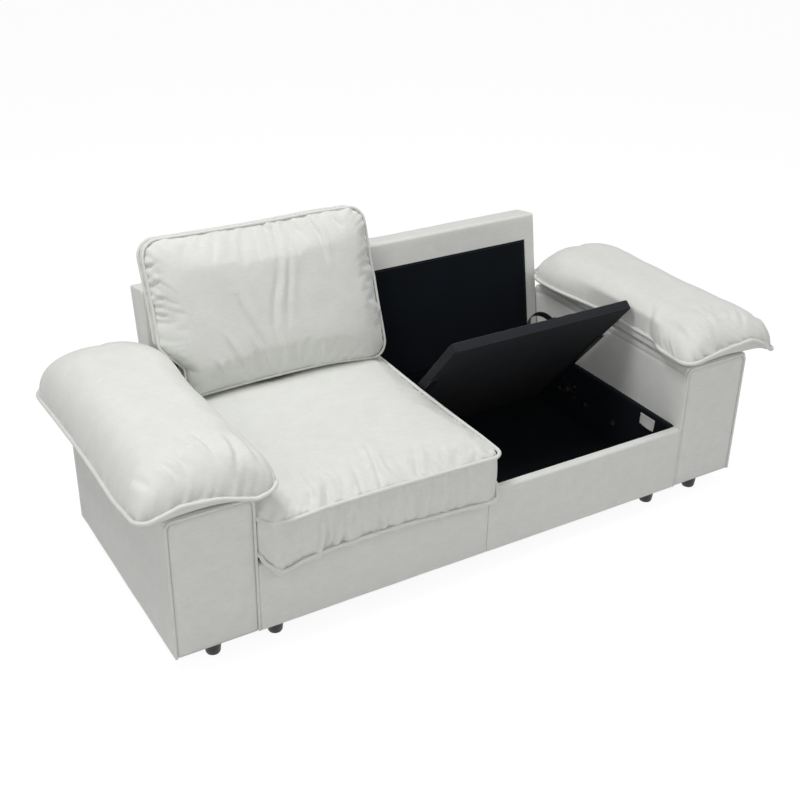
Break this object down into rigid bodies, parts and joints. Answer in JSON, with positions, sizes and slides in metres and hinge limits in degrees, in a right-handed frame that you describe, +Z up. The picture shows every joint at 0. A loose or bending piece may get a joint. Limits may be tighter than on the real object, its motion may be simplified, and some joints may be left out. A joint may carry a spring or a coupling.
{
  "type": "storage sofa with lift-up seat",
  "caption": "Two-seat fabric sofa with pillow-top arms, a leaning backrest, loose cushions on one seat, and a padded seat lid tilted up over an open storage box.",
  "frame": {"origin": "on the floor, under the middle of the whole sofa", "axes": "+Z up, +Y to the rear, +X to the right of someone looking at the front"},
  "size_m": [2.2528, 1.0134, 0.9757],
  "materials": {
    "upholstery": "matte",
    "black_cloth": "matte",
    "padding": "matte",
    "timber": "matte",
    "black_steel": "satin",
    "zinc_steel": "satin",
    "foot_plastic": "satin",
    "label_cloth": "matte"
  },
  "bodies": {
    "sofa": {"front_board_left": "timber", "side_board_left": "timber", "center_board_left": "timber", "rear_board_left": "timber", "floor_panel_left": "timber", "arm_frame_left": "timber", "back_frame_left": "timber", "lid_board_left": "timber", "base_cover_left": "upholstery", "arm_cover_left": "upholstery", "arm_front_panel_left": "upholstery", "arm_piping_left": "upholstery", "back_cover_left": "upholstery", "arm_pad_left": "upholstery", "arm_pad_piping_left": "upholstery", "box_lining_left": "black_cloth", "back_lining_left": "black_cloth", "lid_cover_left": "black_cloth", "pull_strap_left": "black_cloth", "arm_pad_filling_left": "padding", "lid_brackets_left": "black_steel", "front_board_right": "timber", "side_board_right": "timber", "center_board_right": "timber", "rear_board_right": "timber", "floor_panel_right": "timber", "arm_frame_right": "timber", "back_frame_right": "timber", "base_cover_right": "upholstery", "arm_cover_right": "upholstery", "arm_front_panel_right": "upholstery", "arm_piping_right": "upholstery", "back_cover_right": "upholstery", "arm_pad_right": "upholstery", "arm_pad_piping_right": "upholstery", "box_lining_right": "black_cloth", "back_lining_right": "black_cloth", "arm_pad_filling_right": "padding", "bottom_cloth": "black_cloth", "care_label": "label_cloth", "joining_bolts": "zinc_steel", "arm_bolts": "zinc_steel", "back_bolts": "zinc_steel", "foot_studs": "zinc_steel", "pivot_pins": "zinc_steel", "plate_screws": "zinc_steel", "pivot_plates": "black_steel", "front_feet": "foot_plastic", "rear_feet": "foot_plastic"},
    "right_lid": {"lid_cover_right": "black_cloth", "lid_board_right": "timber", "lid_brackets_right": "black_steel", "pull_strap_right": "black_cloth"},
    "seat_cushion": {"seat_cushion": "upholstery", "seat_cushion_core": "padding", "seat_cushion_piping": "upholstery"},
    "back_cushion": {"back_cushion": "upholstery", "back_cushion_filling": "padding", "back_cushion_piping": "upholstery"}
  },
  "joints": [
    {"name": "right_lid_hinge", "type": "hinge", "parent": "sofa", "child": "right_lid", "pos_m": [0.387, 0.10529, 0.189], "axis": [1, 0, 0], "range_deg": [0, 50]},
    {"name": "seat_cushion_slide", "type": "slide", "parent": "sofa", "child": "seat_cushion", "axis": [0, -1, 0], "range_m": [0, 0.85]},
    {"name": "back_cushion_lift", "type": "slide", "parent": "sofa", "child": "back_cushion", "axis": [0, 0, 1], "range_m": [0, 0.6]}
  ]
}
